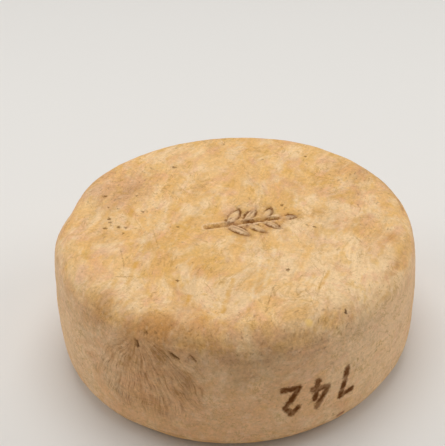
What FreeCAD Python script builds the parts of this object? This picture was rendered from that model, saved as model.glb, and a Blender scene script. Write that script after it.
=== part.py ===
"""A whole wheel of pressed sheep's milk cheese with a natural rind: one solid drum of paste.

Row frame: millimetres, +Z up, the wheel lies flat on its foot. The origin is the middle of the
foot, on the axis of the hoop the wheel was pressed in. -Y is the side that carries the gathered
cloth folds and the painted batch mark.

The drum was pressed by hand in a hoop and then turned on shelves for months, so it is neither
quite round nor quite level. The plain drum's profile is laid out first; `settle` then moves each
of its points to where the real wheel has it, and one smooth skin is carried through them all.
"""

import FreeCAD, Part
import math
import os

Vector = FreeCAD.Vector

# ---- driving dimensions, mm ----
DIAMETER = 249.0         # across the widest part of the heel, before it is pressed out of round
THICKNESS = 100.0        # from the shelf to the top face, in the middle
SHOULDER_RADIUS = 16.5   # rounding between the heel and the top face
FOOT_RADIUS = 17.0       # rounding between the heel and the face it lies on
HEEL_BULGE = 3.6         # the middle of the heel stands this far outside its two ends
CROWN_RISE = 1.6         # the top face is this much higher in its middle than at its shoulder

# ---- how far the wheel is from a true drum ----
TOP_FALL = 6.0           # the top face drops by this from the middle to the wheel's thin side
THIN_ANGLE = -27.0       # direction of the thin side, degrees from +X
OVAL_RISE = 3.6          # the hoop was squeezed: the long axis stands out by this at each end
OVAL_ANGLE = 36.0        # direction of the long axis, degrees from +X
LOBE_RISE = 1.5          # three soft lobes stand out by this, from the three straps of the hoop
LOBE_ANGLE = 43.0        # direction of the first lobe, degrees from +X
SAG_DEPTH = 4.8          # the shoulder has given way by this where the wheel leaned on another
SAG_ANGLE = 167.5        # direction of the sag, degrees from +X
SAG_SPREAD = 7.0         # degrees to each side over which most of the sag dies away
SAG_START = 60.0         # height where the sag begins
SAG_FULL = 98.0          # height from which it is at its full depth

# ---- how finely the skin follows the form ----
RING_POINTS = 60         # points round each ring of the skin
ARC_STEPS = 6            # steps of the profile in each rounding
HEEL_STEPS = 4           # steps of the profile between the two roundings
CROWN_STEPS = 4          # steps of the profile from the shoulder to the flat spot
FLAT_SPOT_RADIUS = 30.0  # the middle of the top face is flat to this distance from the axis
SKIN_DEGREE = 3          # both ways, so that the skin has no kink at a ring
SEAM_GAP = 1e-4          # widest gap that is closed between the skin and a flat

RADIUS = DIAMETER / 2


def heel_reach(height):
    """Distance of the plain drum's heel from the axis at this height."""
    from_middle = (height - THICKNESS / 2) / (THICKNESS / 2)
    return RADIUS - HEEL_BULGE * from_middle * from_middle


def profile():
    """Reach and height of the plain drum, from the rim of the foot up to the flat spot on top."""
    stations = []
    for i in range(ARC_STEPS):
        turn = math.pi / 2 * i / ARC_STEPS
        height = FOOT_RADIUS * (1 - math.cos(turn))
        stations.append((heel_reach(height) - FOOT_RADIUS * (1 - math.sin(turn)), height))
    shoulder_edge = THICKNESS - CROWN_RISE
    heel_span = shoulder_edge - SHOULDER_RADIUS - FOOT_RADIUS
    for i in range(HEEL_STEPS):
        height = FOOT_RADIUS + heel_span * i / HEEL_STEPS
        stations.append((heel_reach(height), height))
    for i in range(ARC_STEPS):
        turn = math.pi / 2 * i / ARC_STEPS
        height = shoulder_edge - SHOULDER_RADIUS * (1 - math.sin(turn))
        stations.append((heel_reach(height) - SHOULDER_RADIUS * (1 - math.cos(turn)), height))
    crown_reach = heel_reach(shoulder_edge) - SHOULDER_RADIUS
    for i in range(CROWN_STEPS + 1):
        share = 1 - i / CROWN_STEPS
        reach = FLAT_SPOT_RADIUS + share * (crown_reach - FLAT_SPOT_RADIUS)
        stations.append((reach, THICKNESS - CROWN_RISE * share * share))
    return stations


def out_of_round(angle):
    """How far the heel stands outside the plain drum at this angle."""
    oval = OVAL_RISE * math.cos(2 * (angle - math.radians(OVAL_ANGLE)))
    lobes = LOBE_RISE * math.cos(3 * (angle - math.radians(LOBE_ANGLE)))
    return oval + lobes


def sag(angle, height):
    """How far the heel has given way at this angle and height: fully on top, not at all below."""
    turn = (angle - math.radians(SAG_ANGLE) + math.pi) % (2 * math.pi) - math.pi
    sideways = math.exp(-0.5 * (turn / math.radians(SAG_SPREAD)) ** 2)
    rise = min(max((height - SAG_START) / (SAG_FULL - SAG_START), 0.0), 1.0)
    return SAG_DEPTH * sideways * rise * rise * (3 - 2 * rise)


def settle(reach, height, angle):
    """Where the real wheel has the point that the plain drum has at this reach, height and angle."""
    share = reach / RADIUS
    reach += share * (out_of_round(angle) - sag(angle, height))
    x = reach * math.cos(angle)
    y = reach * math.sin(angle)
    towards_thin = x * math.cos(math.radians(THIN_ANGLE)) + y * math.sin(math.radians(THIN_ANGLE))
    return Vector(x, y, height * (1 - TOP_FALL / THICKNESS * towards_thin / RADIUS))


def ring(reach, height):
    """The closed curve through the settled points of one station of the profile."""
    turns = [2 * math.pi * i / RING_POINTS for i in range(RING_POINTS)]
    points = [settle(reach, height, turn) for turn in turns]
    curve = Part.BSplineCurve()
    curve.interpolate(Points=points, Parameters=list(range(RING_POINTS + 1)), PeriodicFlag=True)
    return curve


def lead(reach, height):
    """The skin's outward direction where it meets a flat, for each pole of the ring there."""
    outer = ring(reach, height).getPoles()
    inner = ring(reach - 1, height).getPoles()
    return [a.sub(b) for a, b in zip(outer, inner)]


def skin():
    """One smooth surface through all the rings, level with the foot and with the flat spot."""
    stations = profile()
    along = [0.0]
    for (reach, height), (next_reach, next_height) in zip(stations, stations[1:]):
        along.append(along[-1] + math.hypot(next_reach - reach, next_height - height))
    rings = [ring(reach, height) for reach, height in stations]
    columns = zip(*[curve.getPoles() for curve in rings])
    uprights = []
    for column, start, end in zip(columns, lead(*stations[0]), lead(*stations[-1])):
        curve = Part.BSplineCurve()
        curve.interpolate(Points=list(column), Parameters=along, Scale=False,
                          InitialTangent=start, FinalTangent=end.negative())
        uprights.append(curve)
    poles = [curve.getPoles() for curve in uprights]
    round_knots = rings[0].getKnots()
    round_counts = rings[0].getMultiplicities()
    upright_knots = uprights[0].getKnots()
    upright_counts = uprights[0].getMultiplicities()
    surface = Part.BSplineSurface()
    surface.buildFromPolesMultsKnots(poles, round_counts, upright_counts, round_knots, upright_knots,
                                     True, False, SKIN_DEGREE, SKIN_DEGREE)
    return surface.toShape()


def wheel():
    """The whole wheel: the skin closed by the flat of the foot and the flat spot of the crown."""
    side = skin()
    flats = [Part.Face(Part.Wire(rim)) for rim in side.Edges if rim.isClosed()]
    shell = Part.makeShell([side] + flats)
    shell.sewShape()
    solid = Part.makeSolid(shell)
    solid.fix(SEAM_GAP, SEAM_GAP, SEAM_GAP)
    return solid


def main():
    """Build the wheel and write it as a STEP file."""
    os.makedirs("parts", exist_ok=True)
    solid = wheel()
    solid.exportStep("parts/cheese_wheel.step")
    print(solid.ShapeType, "valid", solid.isValid(), "litres", round(solid.Volume / 1e6, 3), solid.BoundBox)


main()
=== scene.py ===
"""A whole wheel of pressed sheep's milk cheese: the looks of its natural rind.

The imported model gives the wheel's body. One closed rind mesh takes its place: a net of even
quads laid on that body, pressed with the relief that the hoop, the cloth, the shelf and the
brush leave, and dressed in one procedural rind finish. Lengths are in millimetres up to the
moment a mesh or a lamp is made, where they turn to metres.
"""

import logging
import math
from dataclasses import dataclass, field
from enum import Enum
from typing import Any, Sequence

import bpy
import numpy as np
from mathutils import Matrix, Vector, noise
from mathutils.bvhtree import BVHTree


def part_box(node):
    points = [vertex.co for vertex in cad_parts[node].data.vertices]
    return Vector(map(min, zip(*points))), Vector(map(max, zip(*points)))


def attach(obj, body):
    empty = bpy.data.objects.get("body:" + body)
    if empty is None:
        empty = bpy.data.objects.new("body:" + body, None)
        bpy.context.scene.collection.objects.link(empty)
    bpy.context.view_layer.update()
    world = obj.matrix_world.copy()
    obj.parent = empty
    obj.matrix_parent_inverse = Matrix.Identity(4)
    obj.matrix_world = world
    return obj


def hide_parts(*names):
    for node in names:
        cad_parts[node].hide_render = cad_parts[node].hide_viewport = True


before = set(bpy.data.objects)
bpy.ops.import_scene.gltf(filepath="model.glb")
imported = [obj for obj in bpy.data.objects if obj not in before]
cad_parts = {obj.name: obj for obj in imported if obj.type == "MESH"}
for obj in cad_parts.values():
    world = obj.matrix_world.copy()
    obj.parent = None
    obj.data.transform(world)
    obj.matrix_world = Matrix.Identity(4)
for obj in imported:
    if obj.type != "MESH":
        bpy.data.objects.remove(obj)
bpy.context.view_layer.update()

MM = 0.001
TOP_FROM = 60.0    # what is given in x and y lies on the top face, which is above this height
FAR_OFF = 99.0     # a gap that is too wide to matter
NODE = "cheese_wheel"

log = logging.getLogger("wheel")


def linear(hex_colour: str) -> tuple[float, float, float, float]:
    """Turn an sRGB hex colour into linear light.

    Args:
        hex_colour: six hex digits after a hash sign.

    Returns:
        Linear red, green, blue and an alpha of one.
    """
    channels = [int(hex_colour[i:i + 2], 16) / 255 for i in (1, 3, 5)]
    lit = [c / 12.92 if c <= 0.04045 else ((c + 0.055) / 1.055) ** 2.4 for c in channels]
    return (lit[0], lit[1], lit[2], 1.0)


def add(tree: bpy.types.NodeTree, kind: str, inputs: dict[Any, Any] | None = None, **settings: Any) -> Any:
    """Add a node with its settings, its values and its links.

    Args:
        tree: node tree that takes the node.
        kind: the node's type without its ShaderNode prefix.
        inputs: socket name or number to a value, or to the output socket that feeds it.
        settings: properties of the node itself.

    Returns:
        The new node.
    """
    node = tree.nodes.new("ShaderNode" + kind)
    for name, value in settings.items():
        setattr(node, name, value)
    for key, value in (inputs or {}).items():
        if isinstance(value, bpy.types.NodeSocket):
            tree.links.new(value, node.inputs[key])
        else:
            node.inputs[key].default_value = value
    return node


def smooth_step(low: float, high: float, value: np.ndarray) -> np.ndarray:
    """Rise smoothly from 0 at low to 1 at high."""
    share = np.clip((value - low) / (high - low), 0.0, 1.0)
    return share * share * (3 - 2 * share)


def rough_field(points: np.ndarray, size: float, octaves: int, seed: float) -> np.ndarray:
    """Sample a field of soft noise at each point.

    Args:
        points: positions in millimetres, one per row.
        size: width of the field's largest lumps in millimetres.
        octaves: how many times finer lumps are laid on the coarser ones.
        seed: moves the field, so that two fields differ.

    Returns:
        Values of about -1 to 1, one per point.
    """
    scaled = (points / size + seed).tolist()
    return np.array([noise.fractal(p, 1.0, 2.0, octaves, noise_basis="PERLIN_ORIGINAL") for p in scaled])


class Zone(Enum):
    """Values that the rind mesh carries at each point, named for what the finish does with them."""

    HEEL = "on_heel"              # 1 on the heel, 0 on the two faces
    CREAM = "cream_bloom_and_sheen"
    GOLD = "golden_wash"
    ORANGE = "orange_stain"
    PINK = "pink_paste"
    GREY = "grey_bloom"
    # darker brown laid as painted shade where the patches of this zone lie
    SHADE = "painted_shade"
    FAN_TURN = "fan_turn"         # degrees at which the point's cloth fold leaves the pinch
    FAN_REACH = "fan_reach"       # millimetres along that fold
    FAN = "fan_share"             # how strongly the folds show
    FOLD = "fold_height"          # millimetres, of the folds that are coarse enough for the mesh
    HOOP = "hoop_line"            # millimetres above the line that the hoop's rim left
    STEM = "stem_gap"             # millimetres from the stamped stem's edge
    LEAF = "leaf_gap"             # millimetres from the nearest stamped leaf's edge, inside negative
    RIB = "leaf_across"           # millimetres to the side of that leaf's rib


class Side(Enum):
    """The sheet that a mark's two coordinates are measured on, in millimetres."""

    TOP = "x and y on the top face"
    HEEL = "s to the right of the middle of the front and z up, on the unrolled heel"


@dataclass(frozen=True)
class Patch:
    """A soft round area of the rind that takes more of one tint."""

    zone: Zone
    centre: tuple[float, float, float]
    radius: float
    strength: float

    def weight(self, points: np.ndarray) -> np.ndarray:
        """How strongly each point lies in the patch."""
        away = np.linalg.norm(points - np.array(self.centre), axis=1)
        return self.strength * np.exp(-((away / self.radius) ** 2))


@dataclass(frozen=True)
class Run:
    """A straight stretch of a mark; a speck starts and ends at one spot."""

    start: tuple[float, float]
    end: tuple[float, float]
    half_width: float

    def gap(self, spots: np.ndarray) -> np.ndarray:
        """Measure how far each spot is from the run's edge.

        Args:
            spots: places on the sheet that the run lies on, one per row.

        Returns:
            Millimetres to the edge, negative inside the run.
        """
        start = np.array(self.start)
        way = np.array(self.end) - start
        along = np.clip((spots - start) @ way / max(way @ way, 1e-9), 0, 1)
        return np.linalg.norm(spots - start - along[:, None] * way, axis=1) - self.half_width


@dataclass(frozen=True)
class Mark:
    """Runs of one kind, and how their stain fades from its core over its soft edge."""

    name: str
    side: Side
    runs: tuple[Run, ...]
    colour: str
    strength: float
    core: float = -0.3      # the stain is whole this far outside a run's edge
    edge: float = 0.6       # and gone this far outside it
    ragged: float = 1.0     # millimetres by which the grain of the crust shifts that edge
    uneven: float = 0.3     # share of the stain that comes and goes


@dataclass
class WheelNet:
    """The net of quads that covers the wheel: a square grid on each face and rings round the heel.

    Each point of the net is led along a plain drum and then thrown from the wheel's middle on to
    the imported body, so the net has the body's own shape.
    """

    cells: int = 146              # cells along each side of a face's square grid
    rings: int = 96               # rings of cells from one face to the other
    edge_radius: float = 17.0     # the drum's roundings, about as the body's
    front_lean: float = 0.16      # draws the net finer towards the front
    centre_pull: float = 0.14     # and towards the middle of each face
    ease_rounds: int = 12         # passes that even out the body's facets
    points: np.ndarray = field(default_factory=lambda: np.zeros((0, 3)))
    quads: np.ndarray = field(default_factory=lambda: np.zeros((0, 4), int))

    def disc(self) -> np.ndarray:
        """Lay a square grid out as a disc of radius 1, finer towards -Y.

        Returns:
            x and y of each point of the grid.
        """
        line = np.linspace(-1, 1, self.cells + 1)
        u, v = np.meshgrid(line, line, indexing="xy")
        flat = u * np.sqrt(1 - v * v / 2) + 1j * v * np.sqrt(1 - u * u / 2)
        flat = flat * (1 - self.centre_pull * (1 - np.abs(flat) ** 2))
        lean = -1j * self.front_lean
        leaned = (flat + lean) / (1 + np.conj(lean) * flat)
        return np.stack([leaned.real, leaned.imag], axis=2)

    def rim(self) -> list[tuple[int, int]]:
        """Go round the disc's rim, anticlockwise from its front left corner.

        Returns:
            Row and column of each point of the rim.
        """
        n = self.cells
        front = [(0, i) for i in range(n)]
        right = [(i, n) for i in range(n)]
        back = [(n, n - i) for i in range(n)]
        left = [(n - i, 0) for i in range(n)]
        return front + right + back + left

    def lay(self, radius: float, height: float) -> None:
        """Lay the net on a plain drum.

        Args:
            radius: the drum's radius.
            height: the drum's height.
        """
        n = self.cells
        disc = self.disc()
        rim = self.rim()
        flat_radius = radius - self.edge_radius
        faces = [np.dstack([disc * flat_radius, np.full((n + 1, n + 1), z)]) for z in (height, 0.0)]
        rim_way = np.array([disc[place] for place in rim])
        profile = self.profile(radius, height)
        heel = [np.column_stack([rim_way * reach, np.full(len(rim), z)]) for reach, z in profile]
        self.points = np.vstack([face.reshape(-1, 3) for face in faces] + heel)
        grid = np.arange((n + 1) ** 2).reshape(n + 1, n + 1)
        top = np.stack([grid[:-1, :-1], grid[:-1, 1:], grid[1:, 1:], grid[1:, :-1]], axis=2).reshape(-1, 4)
        bottom = top[:, ::-1] + grid.size
        top_rim = np.array([grid[place] for place in rim])
        rows = [top_rim]
        rows += [2 * grid.size + i * len(rim) + np.arange(len(rim)) for i in range(len(profile))]
        rows.append(top_rim + grid.size)
        bands = []
        for upper, lower in zip(rows, rows[1:]):
            bands.append(np.stack([upper, lower, np.roll(lower, -1), np.roll(upper, -1)], axis=1))
        self.quads = np.vstack([top, bottom] + bands)

    def profile(self, radius: float, height: float) -> list[tuple[float, float]]:
        """Space the rings between the two faces evenly, from the top down.

        Args:
            radius: the drum's radius.
            height: the drum's height.

        Returns:
            Reach and height of each ring.
        """
        quarter = self.edge_radius * math.pi / 2
        straight = height - 2 * self.edge_radius
        whole = 2 * quarter + straight
        stations = []
        for i in range(1, self.rings):
            run = whole * i / self.rings
            if run < quarter:
                turn = run / self.edge_radius
                drop = self.edge_radius * (1 - math.cos(turn))
            elif run < quarter + straight:
                turn = math.pi / 2
                drop = self.edge_radius + run - quarter
            else:
                turn = (whole - run) / self.edge_radius
                drop = height - self.edge_radius * (1 - math.cos(turn))
            stations.append((radius - self.edge_radius * (1 - math.sin(turn)), height - drop))
        return stations

    def throw(self, body: bpy.types.Object, middle: np.ndarray) -> None:
        """Move each point out from the middle on to the body, and even out the body's facets.

        Args:
            body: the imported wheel.
            middle: a point inside the wheel that all the rays start from.
        """
        mesh = body.data
        corners = [body.matrix_world @ v.co for v in mesh.vertices]
        tree = BVHTree.FromPolygons(corners, [tuple(p.vertices) for p in mesh.polygons])
        start = Vector(middle * MM)
        ways = self.points - middle
        share = np.ones(len(ways))
        for i, way in enumerate(ways.tolist()):
            hit = tree.ray_cast(start, Vector(way).normalized())[0]
            share[i] = (hit - start).length / MM
        share /= np.linalg.norm(ways, axis=1)
        share = self.even_out(share, self.ease_rounds)
        self.points = middle + ways * share[:, None]
        self.points[:, 2] = np.maximum(self.points[:, 2], 0.0)

    def even_out(self, values: np.ndarray, rounds: int) -> np.ndarray:
        """Replace each value with the mean of its own and its neighbours', several times.

        Args:
            values: one value per point of the net.
            rounds: how many times this is done.

        Returns:
            The evened values.
        """
        ends = np.vstack([self.quads[:, [i, (i + 1) % 4]] for i in range(4)])
        here = np.concatenate([ends[:, 0], ends[:, 1]])
        there = np.concatenate([ends[:, 1], ends[:, 0]])
        count = np.bincount(here, minlength=len(values))
        for _ in range(rounds):
            around = np.bincount(here, weights=values[there], minlength=len(values)) / count
            values = 0.5 * values + 0.5 * around
        return values

    def outward(self) -> np.ndarray:
        """Find which way the net faces at each of its points.

        Returns:
            A unit vector for each point.
        """
        corner = self.points[self.quads]
        face = np.cross(corner[:, 2] - corner[:, 0], corner[:, 3] - corner[:, 1])
        total = np.zeros_like(self.points)
        for i in range(4):
            for axis in range(3):
                total[:, axis] += np.bincount(self.quads[:, i], weights=face[:, axis], minlength=len(total))
        return total / np.linalg.norm(total, axis=1)[:, None]


@dataclass
class Heel:
    """The wheel's side, unrolled: s runs to the right from the middle of the front, z is height."""

    radius: float = 125.0

    def unroll(self, points: np.ndarray) -> np.ndarray:
        """Give each point's s and z."""
        angle = np.arctan2(points[:, 0], -points[:, 1])
        return np.column_stack([angle * self.radius, points[:, 2]])


@dataclass
class ClothFan:
    """Fine folds that spread down the heel from where the cloth was gathered and pinched."""

    apex: tuple[float, float] = (-68.5, 90.0)    # s and z of the pinch
    inner: tuple[float, float] = (3.0, 16.0)     # the folds begin this far from it; all there at this
    outer: tuple[float, float] = (72.0, 54.0)    # they have run out this far from it; all there at this
    left: tuple[float, float] = (-72.0, -54.0)   # the same in degrees from straight down, at the left
    right: tuple[float, float] = (114.0, 74.0)   # and at the right, where a fold leaves the pinch
    bend: float = 0.013                          # the folds turn downward by this share per mm
    fold_turn: float = 5.0                       # degrees between the coarse folds
    fold_depth: float = 0.5
    fold_length: float = 30.0                    # a coarse fold runs on for about this far
    waver: float = 6.0                           # degrees by which the folds stray
    waver_size: float = 16.0                     # and the distance over which they do
    farthest: float = 200.0                      # no fold lies past this s, at the back
    pinch: tuple[float, float, float] = (-64.0, -105.0, 87.0)
    pinch_depth: float = 1.4                     # the pinch itself is pulled in by this
    pinch_radius: float = 10.0

    def course(self, spots: np.ndarray) -> tuple[np.ndarray, np.ndarray, np.ndarray]:
        """Where each spot lies in the fan.

        Args:
            spots: s and z of each point of the rind.

        Returns:
            The angle at which the spot's fold leaves the pinch, the spot's distance from the
            pinch, and how strongly the fan shows there.
        """
        away = spots - np.array(self.apex)
        reach = np.hypot(away[:, 0], away[:, 1])
        seen = np.degrees(np.arctan2(away[:, 0], -away[:, 1]))
        leaving = seen / np.maximum(1 - self.bend * reach / 2, 0.4)
        sheet = np.column_stack([spots, np.zeros(len(spots))])
        leaving += self.waver * rough_field(sheet, self.waver_size, 2, 3.1)
        inside = smooth_step(*self.left, leaving)
        inside *= smooth_step(*self.right, leaving)
        inside *= smooth_step(*self.outer, reach) * smooth_step(*self.inner, reach)
        inside[np.abs(spots[:, 0]) > self.farthest] = 0
        return leaving, reach, inside

    def folds(self, spots: np.ndarray) -> np.ndarray:
        """Raise the folds that are coarse enough for the mesh.

        Args:
            spots: s and z of each point of the rind.

        Returns:
            Millimetres by which each spot is raised, negative in the creases.
        """
        leaving, reach, inside = self.course(spots)
        turns, runs = leaving / self.fold_turn, reach / self.fold_length
        lines = np.column_stack([turns, runs, np.zeros(len(reach))])
        return self.fold_depth * inside * rough_field(lines, 1.0, 2, 7.3)

    def hollow(self, points: np.ndarray) -> np.ndarray:
        """How far the rind is pulled in at each point round the pinch."""
        away = np.linalg.norm(points - np.array(self.pinch), axis=1)
        return self.pinch_depth * np.exp(-((away / self.pinch_radius) ** 2))


@dataclass
class Emblem:
    """A plain straight sprig with paired leaves, pressed into the middle of the top by a stamp."""

    centre: tuple[float, float] = (4.0, -1.0)
    turn: float = 14.0
    length: float = 50.0          # of the stem
    stem_width: float = 0.7
    leaf_pairs: int = 3
    first_pair: float = 0.26      # share of the stem where the first pair stands
    pair_step: float = 0.25
    leaf_length: float = 20.0
    leaf_shrink: float = 0.1      # each pair is this much shorter than the one before
    leaf_spread: float = 48.0     # degrees between a leaf and the stem
    tip_length: float = 14.0
    leaf_width: float = 0.17      # half the width of a leaf over its length
    leaf_bow: float = 0.12        # how far a leaf is bowed over its length
    depth: float = 1.1
    slope: float = 0.9            # the pressed lines' sides slope over this
    squeezed_up: float = 0.8
    ridge_gap: float = 2.4        # from the stem's edge to the paste squeezed up beside it

    def leaves(self) -> list[tuple[float, float, float]]:
        """Set out the leaves: one at the tip and the pairs below it.

        Returns:
            Each leaf's share along the stem, its length and the way it points, in degrees.
        """
        found = [(1.0, self.tip_length, 0.0)]
        for i in range(self.leaf_pairs):
            share = self.first_pair + self.pair_step * i
            length = self.leaf_length * (1 - self.leaf_shrink * i)
            found += [(share, length, self.leaf_spread), (share, length, -self.leaf_spread)]
        return found

    def stem(self, share: float) -> np.ndarray:
        """A point of the stem, share running from 0 to 1."""
        return np.array([(share - 0.5) * self.length, 0.0])

    def local(self, points: np.ndarray) -> np.ndarray:
        """Find each point's place on the stamp.

        Args:
            points: positions on the rind, one per row.

        Returns:
            Its x along the stem and its y, from the middle of the stem.
        """
        turn = math.radians(self.turn)
        spin = np.array([[math.cos(turn), -math.sin(turn)], [math.sin(turn), math.cos(turn)]])
        return (points[:, :2] - np.array(self.centre)) @ spin

    def stem_gap(self, spots: np.ndarray) -> np.ndarray:
        """Distance from each spot of the stamp to the edge of the stem."""
        return Run(tuple(self.stem(0)), tuple(self.stem(1)), self.stem_width).gap(spots)

    def leaf_gap(self, spots: np.ndarray) -> tuple[np.ndarray, np.ndarray]:
        """Measure how far each spot of the stamp is from the nearest leaf.

        Args:
            spots: places on the stamp, one per row.

        Returns:
            Millimetres to that leaf's edge, negative inside it, and to the side of its rib.
        """
        nearest, rib = np.full(len(spots), FAR_OFF), np.full(len(spots), FAR_OFF)
        for share, length, way in self.leaves():
            along = np.array([math.cos(math.radians(way)), math.sin(math.radians(way))])
            across = np.array([-along[1], along[0]])
            away = spots - self.stem(share) - along
            run = away @ along / length
            side = away @ across + math.copysign(self.leaf_bow, way) * length * run * (1 - run)
            swell = self.leaf_width * length * np.sin(math.pi * np.clip(run, 0, 1)) ** 0.8
            beyond = length * np.maximum(np.maximum(-run, run - 1), 0)
            gap = np.where(beyond > 0, np.hypot(beyond, side), np.abs(side) - swell)
            rib = np.where(gap < nearest, side, rib)
            nearest = np.minimum(nearest, gap)
        return nearest, rib

    def gaps(self, points: np.ndarray) -> tuple[np.ndarray, np.ndarray, np.ndarray]:
        """Measure how far each point of the rind is from the stamped lines.

        Args:
            points: positions on the rind, one per row.

        Returns:
            Millimetres to the stem's edge, to the nearest leaf's edge and to that leaf's rib.
        """
        spots = self.local(points)
        close = (np.linalg.norm(spots, axis=1) < self.length) & (points[:, 2] > TOP_FROM)
        stem, leaf, rib = (np.full(len(points), FAR_OFF) for _ in range(3))
        stem[close] = self.stem_gap(spots[close])
        leaf[close], rib[close] = self.leaf_gap(spots[close])
        return stem, leaf, rib

    def relief(self, stem: np.ndarray, leaf: np.ndarray) -> np.ndarray:
        """Press the lines in, with the paste squeezed up inside each leaf and beside the stem.

        Args:
            stem: millimetres from each point to the stem's edge.
            leaf: millimetres from it to the nearest leaf's edge.

        Returns:
            Millimetres by which each point is raised, negative in the pressed lines.
        """
        pressed = np.exp(-(np.maximum(stem, 0) / self.slope) ** 2)
        outline = 0.75 * np.exp(-(leaf / self.slope) ** 2) * (1 - pressed)
        raised = smooth_step(-0.4, -2.0, leaf) + 0.6 * np.exp(-((stem - self.ridge_gap) / 1.0) ** 2)
        return self.squeezed_up * raised * (1 - pressed) - self.depth * np.maximum(pressed, outline)


@dataclass
class BatchMark:
    """A plain number brushed on the heel with brown ink, upside down since the wheel was turned."""

    number: str = "742"
    size: tuple[float, float] = (11.5, 22.0)    # width and height of a digit
    first: tuple[float, float] = (75.0, 42.5)   # s and z of the first digit's middle
    step: tuple[float, float] = (-21.0, 0.0)    # from each digit to the next
    half_width: float = 2.1

    def digit(self, glyph: str) -> list[list[tuple[float, float]]]:
        """Draw a digit in a box of width and height 1.

        Args:
            glyph: the digit.

        Returns:
            The corners of each brush stroke.
        """
        runs = {
            "7": [[(0.02, 0.94), (0.9, 1.0), (0.62, 0.45), (0.42, 0.0)]],
            "4": [[(0.7, 1.0), (0.0, 0.36), (1.0, 0.28)], [(0.84, 0.66), (0.66, 0.0)]],
            "2": [[(0.08, 0.8), (0.46, 1.0), (0.84, 0.72), (0.06, 0.04), (0.98, 0.0)]],
        }
        return runs[glyph]

    def runs(self) -> tuple[Run, ...]:
        """Set the number on the heel, upside down.

        Returns:
            Every stretch of the brush, in s and z.
        """
        wide, high = self.size
        found = []
        for i, glyph in enumerate(self.number):
            s, z = self.first[0] + i * self.step[0], self.first[1] + i * self.step[1]
            for brushed in self.digit(glyph):
                path = [(s - (x - 0.5) * wide, z - (y - 0.5) * high) for x, y in brushed]
                found += [Run(a, b, self.half_width) for a, b in zip(path, path[1:])]
        return tuple(found)


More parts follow.
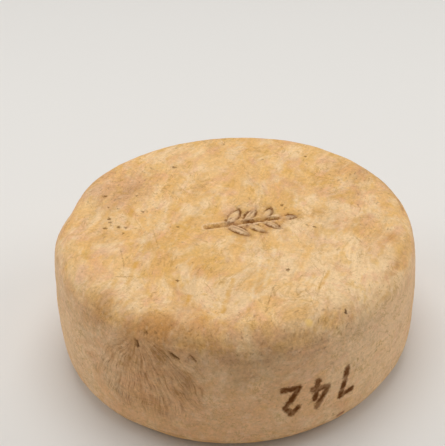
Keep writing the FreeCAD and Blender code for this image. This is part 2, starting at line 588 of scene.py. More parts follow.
@dataclass
class Wear:
    """Cracks, scratches, specks and small stains that the wheel has picked up as it aged."""

    crack_depth: float = 1.1
    crowd_centre: tuple[float, float] = (-79.0, 9.0)    # where pits lie close together on the top
    crowd_spread: tuple[float, float] = (13.0, 13.0)
    crowd_count: int = 11
    seed: int = 5

    def cracks(self) -> tuple[Run, ...]:
        """Set short dry cracks at the pinch of the cloth and beside it.

        Returns:
            The cracks, in s and z on the heel; a wide short run widens the middle of a long one.
        """
        return (Run((-70, 84.5), (-68, 80), 0.2), Run((-69, 83.5), (-68, 81), 0.7),
                Run((-45, 83), (-39, 79.5), 0.2), Run((-44, 82), (-40.5, 80), 0.55),
                Run((-31, 83), (-28, 80), 0.15), Run((-63.5, 91), (-63, 90.5), 0.4))

    def hairlines(self) -> tuple[Run, ...]:
        """Set long thin scratches on the top face.

        Returns:
            The scratches, in x and y.
        """
        return (Run((-78, -29), (-74, -49), 0.15), Run((-57, -8), (-52, -32), 0.15),
                Run((-79, -60), (-69, -60), 0.25), Run((17, -94), (23, -69), 0.2),
                Run((50, -79), (57, -52), 0.1), Run((80, -14), (84, -21), 0.2))

    def golden_streaks(self) -> tuple[Run, ...]:
        """Set the streaks where the brush dragged the golden paste along on the top face.

        Returns:
            The streaks, in x and y.
        """
        return (Run((-3, -63), (-10, -95), 0.5), Run((60, -53), (51, -72), 0.1),
                Run((-31, -79), (-33, -88), 0.4), Run((-72, 13), (-74, -3), 0.8),
                Run((-66, -45), (-71, -68), 0.4))

    def pale_streaks(self) -> tuple[Run, ...]:
        """Set the streaks where the brush scraped the top face pale.

        Returns:
            The streaks, in x and y.
        """
        return (Run((17, -32), (8, -83), 0.4), Run((25, -31), (17, -68), 0.4),
                Run((-59, 7), (-64, -32), 0.4))

    def specks(self) -> tuple[Run, ...]:
        """Set small dark pits on the top face: lone ones, and a crowd strewn by chance.

        Returns:
            One run for each pit, in three sizes by turns.
        """
        lone = [(-40, -7), (-39, -64), (33, -52), (48, -3), (53, -5), (32, 20), (85, 22), (20, 78),
                (-44, 66), (-8, 98), (52, 83)]
        chance = np.random.default_rng(self.seed)
        crowd = chance.normal(self.crowd_centre, self.crowd_spread, (self.crowd_count, 2)).tolist()
        spots = [tuple(spot) for spot in lone + crowd]
        return tuple(Run(spot, spot, 0.45 + 0.25 * (i % 3)) for i, spot in enumerate(spots))

    def marks(self, batch: BatchMark) -> list[Mark]:
        """List all that is drawn on the crust.

        Args:
            batch: the number on the heel.

        Returns:
            The marks, in the order in which they lie on each other.
        """
        ink = batch.runs()
        foot = (Run((70, 13), (74, 14), 1.2),)
        return [
            Mark("yellow_spot", Side.TOP, (Run((44, -101), (44, -101), 1.4),), "#F0C56E", 0.75,
                 -0.5, 2.6, 2.0),
            Mark("foot_stain", Side.HEEL, foot, "#8C4F2C", 0.75, -0.6, 1.2, 1.6),
            Mark("ink_halo", Side.HEEL, ink, "#8E5618", 0.6, -0.6, 1.5, 1.6, 0.3),
            Mark("ink", Side.HEEL, ink, "#643500", 1.0, -1.0, 0.8, 1.6, 0.5),
            Mark("golden_streaks", Side.TOP, self.golden_streaks(), "#D49C3C", 0.6, -0.2, 2.2, 2.4, 0.6),
            Mark("pale_streaks", Side.TOP, self.pale_streaks(), "#F2DAB2", 0.4, -0.2, 1.8, 2.4, 0.8),
            Mark("hairlines", Side.TOP, self.hairlines(), "#8E642A", 0.45, -0.2, 0.7, 1.1, 0.7),
            Mark("specks", Side.TOP, self.specks(), "#6E4812", 0.8, -0.3, 1.0, 2.0, 0.3),
            Mark("shoulder_pit", Side.TOP, (Run((68, -89), (68, -87), 0.5),), "#4E2E08", 0.85,
                 -0.3, 0.8, 1.0, 0.0),
            Mark("crack_halo", Side.HEEL, self.cracks(), "#8A5A20", 0.5, -0.2, 1.8, 1.5, 0.2),
            Mark("cracks", Side.HEEL, self.cracks(), "#4E2A04", 0.9, -0.6, 0.6, 1.2, 0.4),
        ]

    def relief(self, spots: np.ndarray, on_side: np.ndarray) -> np.ndarray:
        """How far the cracks have opened at each spot of the heel."""
        gap = np.minimum.reduce([crack.gap(spots) for crack in self.cracks()])
        return self.crack_depth * smooth_step(1.0, -0.3, gap) * on_side


@dataclass(frozen=True)
class TintLayer:
    """One tint of the crust, laid where a cloudy noise rises from its low to its high mark."""

    name: str
    colour: str
    size: float                   # millimetres between clouds
    low: float
    high: float
    strength: float
    zone: Zone | None = None      # a weight that pushes the tint up
    push: float = 0.0
    heel_share: float = 1.0       # how much of it the heel takes
    detail: float = 6.0
    fine: float = 0.72            # how strong each finer octave is beside the one before


@dataclass(frozen=True)
class RindFinish:
    """Natural rind of a pressed sheep's milk cheese, brushed and turned on wooden shelves.

    It is a dry crust of paste, moulds and dust. That gives the eye a matte golden skin that is
    softly mottled from cream to orange, with a fine grain, a few dark specks and hardly any gloss.
    Sizes are in millimetres.
    """

    name: str = "natural_cheese_rind"
    base: str = "#ECC287"
    # the heel's colour is partly its own greyer tone, partly painted shade: a little darker than the top's,
    # for the side that faces away from the lamp above
    heel: str = "#E8BB8E"
    # in the stamp's pressed lines: partly the stamp's brown, partly painted shade
    stamp_brown_and_shade: str = "#6E3C00"
    # on the stamp's squeezed-up paste: partly paler paste, partly a painted highlight
    stamp_paste_and_highlight: str = "#F3CFA4"
    # brown over the fan, and painted shade in its creases
    fold_brown_and_shade: str = "#88591F"
    # painted highlight on the folds' crests
    fold_highlight: str = "#E8BC90"
    hoop_brown: str = "#A5733F"
    vein_tan: str = "#B58A4A"
    roughness: float = 0.66
    ior: float = 1.45
    specular: float = 0.15        # the crust is porous, so it gives hardly any gloss
    bump_strength: float = 0.55
    bump_depth: float = 0.5
    brush_angle: float = 72.0     # degrees from +X: the way the top face was brushed
    brush_length: float = 26.0
    brush_width: float = 2.7      # bristle marks are finer, and are drawn as coarse as they show
    brush_areas: float = 24.0     # between the areas where bristle marks show
    smear: float = 1.35           # the tints are longer than wide by this, along the brush
    swirl: float = 26.0           # how far the brush strayed from a straight stroke
    swirl_size: float = 55.0      # and the distance over which it did
    grit_size: float = 2.1        # the crust's grain is finer, and is drawn as coarse as it shows
    vein_size: float = 13.0       # between the thin tan veins
    vein_areas: float = 19.0      # and between the areas where they show
    fold_spacing: float = 2.6     # degrees between fine cloth folds, far from the pinch
    fold_run: float = 13.0        # a fine fold runs on for about this far
    fold_areas: float = 7.0       # between the stretches where a crease is brown
    hoop_areas: float = 14.0      # between those where the hoop's line is
    stamp_areas: float = 7.0      # between those where the stamp is
    stain_areas: float = 5.0      # and between those where ink and cracks are darkest
    marks: tuple[Mark, ...] = ()

    def layers(self) -> list[TintLayer]:
        """List the tints of the crust.

        Returns:
            The tints, in the order in which they lie on each other.
        """
        return [
            TintLayer("golden_wash", "#DDA85F", 28.0, 0.36, 0.70, 0.72, Zone.GOLD, 0.14, 0.40, 3.0, 0.60),
            # cream bloom, and on the heel's front left and right a painted sheen
            TintLayer("cream_bloom_and_sheen", "#F0D2A8", 15.0, 0.47, 0.64, 0.64, Zone.CREAM, 0.16, 0.75, 3.0, 0.58),
            TintLayer("pink_paste", "#DFA884", 10.0, 0.50, 0.70, 0.50, Zone.PINK, 0.20, 0.7, 2.5, 0.58),
            TintLayer("gold_veins", "#D8A853", 8.0, 0.55, 0.68, 0.45, Zone.GOLD, 0.05, 0.35, 2.5, 0.58),
            TintLayer("orange_stain", "#C98A49", 18.0, 0.54, 1.20, 0.75, Zone.ORANGE, 0.38, 0.8, 3.0, 0.60),
            TintLayer("grey_bloom", "#AC8E66", 18.0, 0.54, 1.20, 0.65, Zone.GREY, 0.34, 1.0, 4.0, 0.66),
            # painted shade: darkens the rind where the SHADE patches lie
            TintLayer("painted_shade", "#93643A", 22.0, 0.54, 1.44, 0.80, Zone.SHADE, 0.34, 1.0, 4.0, 0.66),
            TintLayer("tan_freckles", "#AE8350", 3.4, 0.57, 0.74, 0.18, None, 0.0, 1.4, 1.0),
            TintLayer("dust_specks", "#7E5C34", 2.2, 0.66, 0.80, 0.45, Zone.SHADE, 0.07, 1.0, 1.0, 0.60),
            TintLayer("pale_flecks", "#F3DDBD", 3.9, 0.57, 0.76, 0.18, None, 0.0, 1.0, 1.0),
        ]

    def build(self) -> bpy.types.Material:
        """Make the rind's material.

        Returns:
            The material, with its nodes set and linked.
        """
        material = bpy.data.materials.new(self.name)
        material.use_nodes = True
        tree = material.node_tree
        tree.nodes.clear()
        place = add(tree, "TexCoord").outputs["Object"]
        in_mm = add(tree, "VectorMath", {0: place, "Scale": 1 / MM}, operation="SCALE").outputs[0]
        weights = {z: add(tree, "Attribute", attribute_name=z.value).outputs["Fac"] for z in Zone}
        stray = add(tree, "TexNoise", {"Vector": in_mm, "Scale": 1 / self.swirl_size,
                                       "Detail": 1.0}).outputs["Color"]
        stray = add(tree, "VectorMath", {0: stray, "Scale": self.swirl}, operation="SCALE").outputs[0]
        stray = add(tree, "VectorMath", {0: stray, 1: in_mm}, operation="ADD").outputs[0]
        turned = add(tree, "VectorRotate", {"Vector": stray, "Angle": -math.radians(self.brush_angle)},
                     rotation_type="Z_AXIS").outputs[0]
        colour = self.tinted(tree, turned, weights)
        grit = add(tree, "TexNoise", {"Vector": in_mm, "Scale": 1 / self.grit_size, "Detail": 2.0,
                                      "Roughness": 0.8}).outputs["Fac"]
        bristle = self.brushed(tree, in_mm, turned, weights)
        folds = self.folded(tree, weights)
        colour = self.creased(tree, in_mm, weights, colour, folds)
        colour = self.stamped(tree, in_mm, weights, colour, grit)
        colour = self.grained(tree, weights, colour, grit, bristle)
        colour = self.marked(tree, in_mm, colour, grit)
        height = add(tree, "Math", {0: bristle, 1: 0.5, 2: grit}, operation="MULTIPLY_ADD").outputs[0]
        height = add(tree, "Math", {0: folds, 1: -0.6, 2: height}, operation="MULTIPLY_ADD").outputs[0]
        bump = add(tree, "Bump", {"Height": height, "Strength": self.bump_strength,
                                  "Distance": self.bump_depth * MM}).outputs[0]
        shader = add(tree, "BsdfPrincipled", {"Base Color": colour, "Normal": bump})
        shader.inputs["Roughness"].default_value = self.roughness
        shader.inputs["IOR"].default_value = self.ior
        shader.inputs["Specular IOR Level"].default_value = self.specular
        add(tree, "OutputMaterial", {"Surface": shader.outputs[0]})
        return material

    def tinted(self, tree: Any, turned: Any, weights: dict[Zone, Any]) -> Any:
        """Lay the broad tints and the veins over the base colour.

        Args:
            tree: the material's node tree.
            turned: socket with the shaded spot's place, x along the brush.
            weights: each zone's socket.

        Returns:
            The colour's socket.
        """
        # the heel takes its own darker colour, partly painted shade
        colour = add(tree, "Mix", {0: weights[Zone.HEEL], 6: linear(self.base), 7: linear(self.heel)},
                     data_type="RGBA").outputs[2]
        smeared = add(tree, "VectorMath", {0: turned, 1: (1 / self.smear, 1.0, 1.0)},
                      operation="MULTIPLY").outputs[0]
        for i, layer in enumerate(self.layers()):
            moved = add(tree, "VectorMath", {0: smeared, 1: (137.0 * i, 59.0 * i, 211.0)},
                        operation="ADD").outputs[0]
            clouds = add(tree, "TexNoise", {"Vector": moved, "Scale": 1 / layer.size,
                                            "Detail": layer.detail, "Roughness": layer.fine,
                                            "Distortion": 0.4}).outputs["Fac"]
            if layer.zone:
                clouds = add(tree, "Math", {0: weights[layer.zone], 1: layer.push, 2: clouds},
                             operation="MULTIPLY_ADD").outputs[0]
            most = add(tree, "MapRange", {"Value": weights[Zone.HEEL], 3: layer.strength,
                                          4: layer.strength * layer.heel_share}).outputs[0]
            amount = add(tree, "MapRange", {"Value": clouds, 1: layer.low, 2: layer.high,
                                            4: most}).outputs[0]
            colour = add(tree, "Mix", {0: amount, 6: colour, 7: linear(layer.colour)}, label=layer.name,
                         data_type="RGBA").outputs[2]
        return self.veined(tree, smeared, colour)

    def veined(self, tree: Any, smeared: Any, colour: Any) -> Any:
        """Draw thin tan veins that wander over the crust and fade in and out.

        Args:
            tree: the material's node tree.
            smeared: socket with the spot's place, drawn together along the brush.
            colour: the colour's socket so far.

        Returns:
            The new colour's socket.
        """
        wander = add(tree, "TexNoise", {"Vector": smeared, "Scale": 1 / self.vein_size, "Detail": 4.0,
                                        "Roughness": 0.62, "Distortion": 0.8}).outputs["Fac"]
        off = add(tree, "Math", {0: wander, 1: 0.5}, operation="SUBTRACT").outputs[0]
        off = add(tree, "Math", {0: off}, operation="ABSOLUTE").outputs[0]
        where = add(tree, "TexNoise", {"Vector": smeared, "Scale": 1 / self.vein_areas,
                                       "Detail": 2.0}).outputs["Fac"]
        most = add(tree, "MapRange", {"Value": where, 1: 0.40, 2: 0.62, 3: 0.05, 4: 0.6}).outputs[0]
        amount = add(tree, "MapRange", {"Value": off, 1: 0.0, 2: 0.02, 3: most, 4: 0.0}).outputs[0]
        return add(tree, "Mix", {0: amount, 6: colour, 7: linear(self.vein_tan)},
                   data_type="RGBA").outputs[2]

    def brushed(self, tree: Any, in_mm: Any, turned: Any, weights: dict[Zone, Any]) -> Any:
        """Draw bristle marks along the brush on the faces and level on the heel.

        Args:
            tree: the material's node tree.
            in_mm: socket with the shaded spot's place.
            turned: that place, x along the brush.
            weights: each zone's socket.

        Returns:
            A socket from -1 to 1.
        """
        long, thin = 1 / self.brush_length, 1 / self.brush_width
        swings = []
        for place, drawn in ((turned, (long, thin, long)), (in_mm, (long, long, thin))):
            spread = add(tree, "VectorMath", {0: place, 1: drawn}, operation="MULTIPLY").outputs[0]
            lines = add(tree, "TexNoise", {"Vector": spread, "Scale": 1.0, "Detail": 2.0,
                                           "Roughness": 0.7, "Distortion": 0.35}).outputs["Fac"]
            swings.append(add(tree, "MapRange", {"Value": lines, 1: 0.30, 2: 0.70, 3: -1.0,
                                                 4: 1.0}).outputs[0])
        swing = add(tree, "Mix", {0: weights[Zone.HEEL], 2: swings[0], 3: swings[1]}).outputs[0]
        where = add(tree, "TexNoise", {"Vector": in_mm, "Scale": 1 / self.brush_areas,
                                       "Detail": 1.0}).outputs["Fac"]
        share = add(tree, "MapRange", {"Value": where, 1: 0.42, 2: 0.62, 3: 0.35, 4: 1.0}).outputs[0]
        return add(tree, "Math", {0: swing, 1: share}, operation="MULTIPLY").outputs[0]

    def folded(self, tree: Any, weights: dict[Zone, Any]) -> Any:
        """Draw the fine cloth folds, which fork as they run out.

        Args:
            tree: the material's node tree.
            weights: each zone's socket.

        Returns:
            A socket from 0 to 1 in the creases.
        """
        crease = None
        for spacing, starts in ((2.4, 0.0), (1.0, 20.0), (0.62, 42.0)):
            across = add(tree, "Math", {0: weights[Zone.FAN_TURN], 1: 1 / (spacing * self.fold_spacing)},
                         operation="MULTIPLY").outputs[0]
            along = add(tree, "Math", {0: weights[Zone.FAN_REACH], 1: 1 / self.fold_run},
                        operation="MULTIPLY").outputs[0]
            course = add(tree, "CombineXYZ", {0: across, 1: along}).outputs[0]
            lines = add(tree, "TexNoise", {"Vector": course, "Scale": 1.0, "Detail": 1.5,
                                           "Roughness": 0.7, "Distortion": 0.5}).outputs["Fac"]
            lines = add(tree, "MapRange", {"Value": lines, 1: 0.46, 2: 0.66},
                        interpolation_type="SMOOTHSTEP").outputs[0]
            if crease is not None:
                far = add(tree, "MapRange", {"Value": weights[Zone.FAN_REACH], 1: starts,
                                             2: starts + 14.0}).outputs[0]
                lines = add(tree, "Mix", {0: far, 2: crease, 3: lines}).outputs[0]
            crease = lines
        return add(tree, "Math", {0: crease, 1: weights[Zone.FAN]}, operation="MULTIPLY").outputs[0]

    def grained(self, tree: Any, weights: dict[Zone, Any], colour: Any, grit: Any, bristle: Any) -> Any:
        """Shade the colour with the bristle marks and the grain, which shows most where the painted shade
        lies.

        Args:
            tree: the material's node tree.
            weights: each zone's socket.
            colour: the colour's socket so far.
            grit: the grain's socket.
            bristle: the bristle marks' socket.

        Returns:
            The new colour's socket.
        """
        share = add(tree, "MapRange", {"Value": weights[Zone.SHADE], 1: 0.0, 2: 0.9, 3: 0.85,
                                       4: 1.3}).outputs[0]
        swing = add(tree, "MapRange", {"Value": grit, 1: 0.25, 2: 0.75, 3: -0.16, 4: 0.15}).outputs[0]
        shade = add(tree, "Math", {0: swing, 1: share, 2: 1.0}, operation="MULTIPLY_ADD").outputs[0]
        stripe = add(tree, "Math", {0: bristle, 1: 0.085, 2: shade}, operation="MULTIPLY_ADD").outputs[0]
        return add(tree, "VectorMath", {0: colour, "Scale": stripe}, operation="SCALE").outputs[0]

    def creased(self, tree: Any, in_mm: Any, weights: dict[Zone, Any], colour: Any, folds: Any) -> Any:
        """Brown the cloth folds and the line of the hoop's rim; the folds' creases are browned as painted
        shade and their crests paled as a painted highlight.

        Args:
            tree: the material's node tree.
            in_mm: socket with the shaded spot's place.
            weights: each zone's socket.
            colour: the colour's socket so far.
            folds: the fine folds' socket.

        Returns:
            The new colour's socket.
        """
        wash = add(tree, "Math", {0: weights[Zone.FAN], 1: 0.06}, operation="MULTIPLY").outputs[0]
        # painted shade in the coarse folds' hollows and a painted highlight on their crests; then a painted
        # highlight between the fine creases and painted shade in them
        valley = add(tree, "MapRange", {"Value": weights[Zone.FOLD], 1: 0.05, 2: -0.3, 3: 0.0,
                                        4: 0.3}).outputs[0]
        crest = add(tree, "MapRange", {"Value": weights[Zone.FOLD], 1: 0.05, 2: 0.3, 3: 0.0,
                                       4: 0.3}).outputs[0]
        pale = add(tree, "MapRange", {"Value": folds, 1: 0.15, 2: 0.0, 3: 0.0, 4: 0.16}).outputs[0]
        pale = add(tree, "Math", {0: pale, 1: weights[Zone.FAN]}, operation="MULTIPLY").outputs[0]
        broken = add(tree, "TexNoise", {"Vector": in_mm, "Scale": 1 / self.fold_areas,
                                        "Detail": 2.0}).outputs["Fac"]
        broken = add(tree, "MapRange", {"Value": broken, 1: 0.4, 2: 0.62, 3: 0.12, 4: 0.6}).outputs[0]
        dark = add(tree, "Math", {0: folds, 1: broken}, operation="MULTIPLY").outputs[0]
        for amount, tint in ((wash, self.fold_brown_and_shade), (valley, self.fold_brown_and_shade), (crest, self.fold_highlight),
                             (pale, self.fold_highlight), (dark, self.fold_brown_and_shade)):
            colour = add(tree, "Mix", {0: amount, 6: colour, 7: linear(tint)}, data_type="RGBA").outputs[2]
        patchy = add(tree, "TexNoise", {"Vector": in_mm, "Scale": 1 / self.hoop_areas, "Detail": 4.0,
                                        "Roughness": 0.7}).outputs["Fac"]
        shown = add(tree, "MapRange", {"Value": patchy, 1: 0.45, 2: 0.65, 3: 0.0, 4: 0.5}).outputs[0]
        away = add(tree, "Math", {0: weights[Zone.HOOP]}, operation="ABSOLUTE").outputs[0]
        amount = add(tree, "MapRange", {"Value": away, 1: 0.2, 2: 2.4, 3: shown, 4: 0.0},
                     interpolation_type="SMOOTHSTEP").outputs[0]
        return add(tree, "Mix", {0: amount, 6: colour, 7: linear(self.hoop_brown)},
                   data_type="RGBA").outputs[2]

    def torn(self, tree: Any, grit: Any, gap: Any, width: float) -> Any:
        """Let the grain of the crust tear a stain's edge.

        Args:
            tree: the material's node tree.
            grit: the grain's socket.
            gap: socket with the distance to the edge.
            width: millimetres over which the edge is torn.

        Returns:
            The torn distance's socket.
        """
        shift = add(tree, "MapRange", {"Value": grit, 1: 0.25, 2: 0.75, 3: -width / 2,
                                       4: width / 2}).outputs[0]
        return add(tree, "Math", {0: gap, 1: shift}, operation="ADD").outputs[0]

    def stamped(self, tree: Any, in_mm: Any, weights: dict[Zone, Any], colour: Any, grit: Any) -> Any:
        """Brown the pressed lines of the stamp, partly as painted shade, and make the raised paste pale,
        partly as a painted highlight.

        Args:
            tree: the material's node tree.
            in_mm: socket with the shaded spot's place.
            weights: each zone's socket.
            colour: the colour's socket so far.
            grit: the grain's socket.

        Returns:
            The new colour's socket.
        """
        leaf = self.torn(tree, grit, weights[Zone.LEAF], 1.4)
        outline = add(tree, "Math", {0: leaf}, operation="ABSOLUTE").outputs[0]
        across = add(tree, "Math", {0: weights[Zone.RIB]}, operation="ABSOLUTE").outputs[0]
        off_leaf = add(tree, "Math", {0: weights[Zone.LEAF], 1: 1.2}, operation="ADD").outputs[0]
        rib = add(tree, "Math", {0: across, 1: off_leaf}, operation="MAXIMUM").outputs[0]
        stem = self.torn(tree, grit, weights[Zone.STEM], 1.4)
        beside = add(tree, "Math", {0: stem, 1: Emblem.ridge_gap}, operation="SUBTRACT").outputs[0]
        beside = add(tree, "Math", {0: beside}, operation="ABSOLUTE").outputs[0]
        wet = add(tree, "TexNoise", {"Vector": in_mm, "Scale": 1 / self.stamp_areas,
                                     "Detail": 3.0}).outputs["Fac"]
        # the brown in and round the pressed lines is partly painted shade; the pale inside the leaves and
        # beside the stem is partly a painted highlight on the raised paste
        for gap, near, far, least, most, tint in (
                (leaf, 0.5, 6.0, 0.08, 0.28, self.stamp_brown_and_shade),
                (leaf, -1.2, 0.4, 0.2, 0.75, self.stamp_paste_and_highlight),
                (outline, 0.3, 1.7, 0.15, 0.85, self.stamp_brown_and_shade),
                (rib, 0.3, 1.4, 0.0, 0.6, self.stamp_brown_and_shade),
                (stem, 0.2, 4.0, 0.15, 0.4, self.stamp_brown_and_shade),
                (beside, 0.3, 1.2, 0.1, 0.6, self.stamp_paste_and_highlight),
                (stem, -0.6, 1.1, 0.5, 0.95, self.stamp_brown_and_shade)):
            share = add(tree, "MapRange", {"Value": wet, 1: 0.38, 2: 0.6, 3: least, 4: most}).outputs[0]
            amount = add(tree, "MapRange", {"Value": gap, 1: near, 2: far, 3: share, 4: 0.0},
                         interpolation_type="SMOOTHSTEP").outputs[0]
            colour = add(tree, "Mix", {0: amount, 6: colour, 7: linear(tint)}, data_type="RGBA").outputs[2]
        return colour

    def marked(self, tree: Any, in_mm: Any, colour: Any, grit: Any) -> Any:
        """Draw the ink, the cracks, the scratches and the specks.

        Args:
            tree: the material's node tree.
            in_mm: socket with the shaded spot's place.
            colour: the colour's socket so far.
            grit: the grain's socket.

        Returns:
            The new colour's socket.
        """
        apart = add(tree, "SeparateXYZ", {0: in_mm}).outputs
        front = add(tree, "Math", {0: apart[1], 1: -1.0}, operation="MULTIPLY").outputs[0]
        angle = add(tree, "Math", {0: apart[0], 1: front}, operation="ARCTAN2").outputs[0]
        run = add(tree, "Math", {0: angle, 1: Heel.radius}, operation="MULTIPLY").outputs[0]
        sheets = {Side.TOP: add(tree, "CombineXYZ", {0: apart[0], 1: apart[1]}).outputs[0],
                  Side.HEEL: add(tree, "CombineXYZ", {0: run, 1: apart[2]}).outputs[0]}
        upper = add(tree, "Math", {0: apart[2], 1: TOP_FROM}, operation="GREATER_THAN").outputs[0]
        coming = add(tree, "TexNoise", {"Vector": in_mm, "Scale": 1 / self.stain_areas,
                                        "Detail": 2.0}).outputs["Fac"]
        for mark in self.marks:
            gap = self.nearest(tree, sheets[mark.side], mark.runs)
            gap = self.torn(tree, grit, gap, mark.ragged)
            most = add(tree, "MapRange", {"Value": coming, 1: 0.35, 2: 0.6,
                                          3: mark.strength * (1 - mark.uneven),
                                          4: mark.strength}).outputs[0]
            amount = add(tree, "MapRange", {"Value": gap, 1: mark.core, 2: mark.edge, 3: most, 4: 0.0},
                         interpolation_type="SMOOTHSTEP").outputs[0]
            if mark.side is Side.TOP:
                amount = add(tree, "Math", {0: amount, 1: upper}, operation="MULTIPLY").outputs[0]
            colour = add(tree, "Mix", {0: amount, 6: colour, 7: linear(mark.colour)}, label=mark.name,
                         data_type="RGBA").outputs[2]
        return colour

    def nearest(self, tree: Any, spots: Any, runs: Sequence[Run]) -> Any:
        """Measure how far the shaded spot is from the edge of the nearest run.

        Args:
            tree: the material's node tree.
            spots: socket with the spot's place on the sheet that the runs lie on.
            runs: the runs.

        Returns:
            The socket with that distance in millimetres.
        """
        least = None
        for run in runs:
            way = Vector((run.end[0] - run.start[0], run.end[1] - run.start[1], 0))
            away = add(tree, "VectorMath", {0: spots, 1: (*run.start, 0)}, operation="SUBTRACT").outputs[0]
            if way.length > 0:
                along = add(tree, "VectorMath", {0: away, 1: way / way.length_squared},
                            operation="DOT_PRODUCT").outputs["Value"]
                along = add(tree, "Math", {0: along, 1: 1.0}, operation="MULTIPLY",
                            use_clamp=True).outputs[0]
                foot = add(tree, "VectorMath", {0: way, "Scale": along}, operation="SCALE").outputs[0]
                away = add(tree, "VectorMath", {0: away, 1: foot}, operation="SUBTRACT").outputs[0]
            far = add(tree, "VectorMath", {0: away}, operation="LENGTH").outputs["Value"]
            gap = add(tree, "Math", {0: far, 1: run.half_width}, operation="SUBTRACT").outputs[0]
            if least is not None:
                gap = add(tree, "Math", {0: least, 1: gap}, operation="MINIMUM").outputs[0]
            least = gap
        return least


@dataclass
class Rind:
    """The whole skin of the wheel: its net, its relief and the weights that its finish reads."""

    net: WheelNet = field(default_factory=WheelNet)
    heel: Heel = field(default_factory=Heel)
    fan: ClothFan = field(default_factory=ClothFan)
    emblem: Emblem = field(default_factory=Emblem)
    batch_mark: BatchMark = field(default_factory=BatchMark)
    wear: Wear = field(default_factory=Wear)
    high_side: float = 3.5        # the wheel's highest rim is this much above its mean height
    swells: tuple[float, float, float] = (0.5, 42.0, 1.7)    # height and width of the lumps, seed
    dimples: tuple[float, float, float] = (0.25, 13.0, 5.1)
    pebbles: tuple[float, float, float] = (0.10, 4.0, 8.4)
    hoop_height: float = 11.0     # the hoop's rim pressed a line this far from each face
    hoop_stray: float = 1.6       # the line strays by this much
    hoop_stray_size: float = 40.0     # over this distance
    hoop_step: float = 0.35           # how far the paste stands up and is pressed in there
    hoop_lip: tuple[float, float] = (1.5, 1.4)        # it stands up above the line, and how wide
    hoop_groove: tuple[float, float] = (-1.0, 1.6)    # it is pressed in below the line
    heel_from: float = 90.0       # cracks of the heel lie farther than this from the axis
    rim_parts: int = 48           # parts of the round in which the rim's height is taken

    def patches(self) -> list[Patch]:
        """Place the areas where a tint gathers: the middle of each, its radius and its strength.

        Returns:
            The patches, tint by tint.
        """
        places = {
            # the two wide cream patches on the heel at the front left and right, (-112, -52, 52) and (100,
            # -70, 55), are partly paler bloom, partly a painted sheen where the heel turns away at the
            # sides
            Zone.CREAM: (
                ((-18, -76, 98), 16, 1.5), ((-43, -83, 99), 10, 1.0), ((-2, -84, 97), 16, 0.9),
                ((-80, -64, 101), 11, 0.7), ((77, -43, 95), 18, 0.9), ((24, -57, 97), 20, 0.8),
                ((52, -12, 97), 18, 1.4), ((74, 10, 96), 15, 1.4), ((-106, -6, 102), 14, 0.6),
                ((-75, 2, 102), 11, 0.9), ((51, -72, 95), 18, 0.7), ((-88, -28, 102), 9, 0.7),
                ((-112, -52, 52), 34, 1.8), ((-60, -42, 100), 10, 0.6), ((100, -70, 55), 40, 2.6),
                ((70, -66, 95), 22, 0.8), ((66, -100, 68), 18, 1.0), ((10, 124, 45), 30, 1.4),
                ((-92, 84, 40), 26, 1.2),
            ),
            Zone.GOLD: (
                ((-42, -22, 101), 28, 1.0), ((-20, -42, 100), 26, 0.7), ((0, 2, 100), 30, 0.7),
                ((67, -10, 96), 8, 2.4), ((70, 62, 98), 30, 0.8), ((-30, -62, 99), 14, 0.9),
                ((33, -87, 96), 8, 1.0), ((15, -32, 98), 12, 0.8), ((-78, -82, 98), 13, 0.9),
            ),
            Zone.ORANGE: (
                ((104, -15, 94), 9, 1.4), ((104, -38, 92), 12, 0.4), ((-87, -85, 93), 12, 0.9),
                ((-52, -105, 92), 14, 1.5), ((-28, -106, 95), 14, 0.9), ((-30, -93, 98), 9, 0.7),
                ((-4, -109, 95), 14, 0.7), ((-54, -110, 56), 34, 0.9), ((80, 70, 96), 12, 0.7),
                ((40, 112, 90), 18, 0.8),
            ),
            Zone.PINK: (
                ((-107, -11, 102), 12, 0.6), ((-94, -44, 102), 12, 1.1), ((-84, 40, 103), 22, 1.3),
                ((7, -110, 95), 20, 0.6), ((87, 28, 96), 20, 0.5), ((-50, -112, 50), 24, 0.6),
                ((48, -112, 62), 18, 0.6), ((-84, 92, 62), 26, 0.9),
            ),
            Zone.GREY: (
                ((-96, -80, 80), 15, 0.4), ((-102, -72, 68), 20, 0.3), ((16, -121, 79), 18, 0.7),
                ((44, -113, 79), 20, 0.25), ((78, -92, 84), 18, 0.7), ((-1, -124, 73), 14, 0.9),
                ((62, 106, 68), 28, 0.8), ((-112, 42, 62), 26, 0.7),
            ),
            # painted shade: the back of the top is darkened where less light falls, with a cast shadow and
            # some brown mottling at its back left, and so are the front shoulder where it turns away from
            # the lamp above and the hollow of the cloth fan; the patches on the back of the heel copy that
            # darker mottling
            Zone.SHADE: (
                ((-80, 42, 103), 30, 0.8), ((88, 34, 96), 30, 0.4), ((-54, -106, 89), 17, 0.8),
                ((-89, -85, 92), 13, 0.8), ((-56, -108, 60), 32, 0.3), ((-20, -112, 94), 18, 0.6),
                ((-31, -114, 88), 11, 0.6), ((12, -114, 90), 18, 1.0), ((40, -106, 90), 16, 1.0),
                ((62, -93, 90), 16, 0.8), ((-30, 118, 90), 24, 0.9), ((98, 74, 84), 22, 0.8),
                ((-72, 92, 20), 22, 0.6),
            ),
        }
        return [Patch(zone, *place) for zone, row in places.items() for place in row]

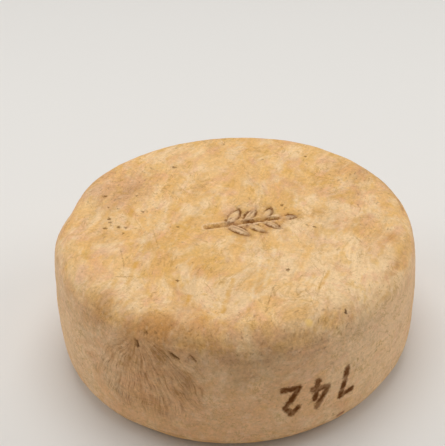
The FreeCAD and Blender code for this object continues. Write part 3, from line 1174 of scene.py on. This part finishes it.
    def build(self, body: bpy.types.Object) -> bpy.types.Object:
        """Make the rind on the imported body.

        Args:
            body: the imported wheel, which the rind takes the place of.

        Returns:
            The rind's object.
        """
        low, high = (np.array(corner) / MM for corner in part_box(NODE))
        radius = float((high - low)[:2].mean()) / 2
        height = float(high[2]) - self.high_side
        self.net.lay(radius, height)
        self.net.throw(body, np.array([0.0, 0.0, height / 2]))
        smooth = self.net.points.copy()
        normals = self.net.outward()
        spots = self.heel.unroll(smooth)
        values = self.weigh(smooth, normals, spots, height)
        relief = self.relief(smooth, spots, values)
        self.net.points = smooth + normals * relief[:, None]
        self.net.points[:, 2] = np.maximum(self.net.points[:, 2], 0.0)
        piece = self.mesh(values)
        finish = RindFinish(marks=tuple(self.wear.marks(self.batch_mark)))
        piece.data.materials.append(finish.build())
        log.info("rind: %d quads, relief %.2f to %.2f mm", len(self.net.quads), relief.min(), relief.max())
        return piece

    def relief(self, smooth: np.ndarray, spots: np.ndarray, values: dict[Zone, np.ndarray]) -> np.ndarray:
        """Add up all that stands out of the rind or is pressed into it.

        Args:
            smooth: the points before the relief is pressed.
            spots: their s and z on the unrolled heel.
            values: what they carry for the finish.

        Returns:
            Millimetres by which each point is raised.
        """
        relief = np.zeros(len(smooth))
        for rise, size, seed in (self.swells, self.dimples, self.pebbles):
            relief += rise * rough_field(smooth, size, 2, seed)
        relief += values[Zone.FOLD] + self.emblem.relief(values[Zone.STEM], values[Zone.LEAF])
        relief -= self.fan.hollow(smooth)
        relief -= self.wear.relief(spots, np.hypot(smooth[:, 0], smooth[:, 1]) > self.heel_from)
        lip, groove = (np.exp(-((values[Zone.HOOP] - middle) / width) ** 2)
                       for middle, width in (self.hoop_lip, self.hoop_groove))
        relief += self.hoop_step * (lip - groove) * (0.6 + rough_field(smooth, 18.0, 1, 2.2))
        return relief

    def weigh(self, smooth: np.ndarray, normals: np.ndarray, spots: np.ndarray,
              height: float) -> dict[Zone, np.ndarray]:
        """Work out what each point of the rind carries for the finish.

        Args:
            smooth: the points before the relief is pressed.
            normals: the outward way at each of them.
            spots: their s and z on the unrolled heel.
            height: the wheel's mean height.

        Returns:
            One array for each zone.
        """
        values = {zone: np.zeros(len(smooth)) for zone in Zone}
        values[Zone.HEEL] = smooth_step(0.8, 0.2, np.abs(normals[:, 2]))
        for patch in self.patches():
            values[patch.zone] += patch.weight(smooth)
        values[Zone.FAN_TURN], values[Zone.FAN_REACH], values[Zone.FAN] = self.fan.course(spots)
        values[Zone.FOLD] = self.fan.folds(spots)
        values[Zone.STEM], values[Zone.LEAF], values[Zone.RIB] = self.emblem.gaps(smooth)
        stray = self.hoop_stray * rough_field(smooth * [1, 1, 0], self.hoop_stray_size, 2, 4.6)
        from_face = np.minimum(smooth[:, 2], self.face_height(smooth) - smooth[:, 2])
        values[Zone.HOOP] = from_face - self.hoop_height + stray
        return values

    def face_height(self, smooth: np.ndarray) -> np.ndarray:
        """Find how high the top face is on the side where each point lies.

        Args:
            smooth: the points before the relief is pressed.

        Returns:
            The mean height of the rim about there.
        """
        turns = (np.degrees(np.arctan2(smooth[:, 1], smooth[:, 0])) + 180) / (360 / self.rim_parts)
        parts = turns.astype(int) % self.rim_parts
        tops = np.array([smooth[parts == i, 2].max() for i in range(self.rim_parts)])
        eased = np.mean([np.roll(tops, k) for k in (-2, -1, 0, 1, 2)], axis=0)
        ringed = np.concatenate([eased[-1:], eased, eased[:1]])
        return np.interp(turns - 0.5, np.arange(-1, self.rim_parts + 1), ringed)

    def mesh(self, values: dict[Zone, np.ndarray]) -> bpy.types.Object:
        """Turn the net into a smooth mesh that carries the zones' values on its points.

        Args:
            values: one array for each zone.

        Returns:
            The object that holds the mesh.
        """
        mesh = bpy.data.meshes.new("rind")
        mesh.from_pydata((self.net.points * MM).tolist(), [], self.net.quads.tolist())
        for zone, value in values.items():
            layer = mesh.attributes.new(zone.value, "FLOAT", "POINT")
            layer.data.foreach_set("value", value.astype(np.float32))
        mesh.shade_smooth()
        piece = bpy.data.objects.new("rind", mesh)
        bpy.context.scene.collection.objects.link(piece)
        return piece


@dataclass(frozen=True)
class PaperFinish:
    """Uncoated studio paper, pressed smooth and rolled out on the table.

    Its fibres scatter the light evenly. That gives the eye a dull pale ground with no gloss, on
    which only the wheel's soft shadow shows.
    """

    name: str = "matte_studio_paper"
    colour: str = "#E4E1DC"
    roughness: float = 0.9

    def build(self) -> bpy.types.Material:
        """Make the paper's material.

        Returns:
            The material.
        """
        material = bpy.data.materials.new(self.name)
        material.use_nodes = True
        shader = material.node_tree.nodes["Principled BSDF"].inputs
        shader["Base Color"].default_value = linear(self.colour)
        shader["Roughness"].default_value = self.roughness
        return material


@dataclass(frozen=True)
class Lamp:
    """A square soft lamp; its place and size are in metres and its power in watts."""

    name: str
    place: tuple[float, float, float]
    size: float
    power: float

    def hang(self, aim: Vector) -> None:
        """Hang the lamp up so that it points at aim.

        Args:
            aim: the place that it lights.
        """
        lamp = bpy.data.lights.new(self.name, "AREA")
        lamp.size = self.size
        lamp.energy = self.power
        holder = bpy.data.objects.new(self.name, lamp)
        holder.location = self.place
        holder.rotation_euler = (aim - Vector(self.place)).to_track_quat("-Z", "Y").to_euler()
        bpy.context.scene.collection.objects.link(holder)


@dataclass
class Studio:
    """A plain pale floor, three soft lamps, an even sky and the camera; lengths in metres."""

    floor_size: float = 12.0
    sky: float = 0.35
    lamps: tuple[Lamp, ...] = (Lamp("above", (0.0, 0.25, 1.5), 1.0, 11.5),
                               Lamp("left", (-1.3, 0.2, 0.8), 0.8, 5.2),
                               Lamp("right", (1.3, 0.2, 0.8), 0.8, 5.2))
    lit_height: float = 0.05          # the lamps point at the wheel's axis, this far up
    seen_height: float = 0.0501       # the camera stands off from its axis, this far up
    distance: float = 0.961           # by this much
    elevation: float = 37.70          # degrees, as are the three turns that follow
    pan: float = 0.585
    tilt: float = 2.383
    roll: float = -1.375
    lens: float = 109.86              # millimetres

    def lay_floor(self) -> None:
        """Make the floor, which catches the wheel's shadow."""
        half = self.floor_size / 2
        corners = [(-half, -half, 0), (half, -half, 0), (half, half, 0), (-half, half, 0)]
        mesh = bpy.data.meshes.new("floor")
        mesh.from_pydata(corners, [], [(0, 1, 2, 3)])
        floor = bpy.data.objects.new("floor", mesh)
        bpy.context.scene.collection.objects.link(floor)
        floor.data.materials.append(PaperFinish().build())

    def hang_lamps(self) -> None:
        """Light the wheel: a wide lamp above and one at each side, and an even sky."""
        world = bpy.data.worlds.new("studio_air")
        world.use_nodes = True
        sky = world.node_tree.nodes["Background"].inputs
        sky["Color"].default_value = (1, 1, 1, 1)
        sky["Strength"].default_value = self.sky
        bpy.context.scene.world = world
        for lamp in self.lamps:
            lamp.hang(Vector((0, 0, self.lit_height)))

    def set_camera(self) -> None:
        """Set the camera up in front of the wheel, above it and looking down on it."""
        climb = math.radians(self.elevation)
        place = Vector((0, 0, self.seen_height))
        place += Vector((0, -math.cos(climb), math.sin(climb))) * self.distance
        turn = Matrix.Rotation(math.pi / 2 - climb, 4, "X")
        for angle, axis in ((self.pan, "Y"), (self.tilt, "X"), (self.roll, "Z")):
            turn = turn @ Matrix.Rotation(math.radians(angle), 4, axis)
        camera = bpy.data.cameras.new("camera")
        camera.lens = self.lens
        holder = bpy.data.objects.new("camera", camera)
        holder.matrix_world = Matrix.Translation(place) @ turn
        bpy.context.scene.collection.objects.link(holder)
        bpy.context.scene.camera = holder


def main() -> None:
    """Set the stage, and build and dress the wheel's rind."""
    logging.basicConfig(level=logging.INFO, format="%(name)s: %(message)s")
    bpy.context.scene.view_settings.view_transform = "Standard"
    studio = Studio()
    studio.set_camera()
    studio.lay_floor()
    studio.hang_lamps()
    rind = Rind().build(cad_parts[NODE])
    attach(rind, "root")
    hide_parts(NODE)


if __name__ == "__main__":
    main()
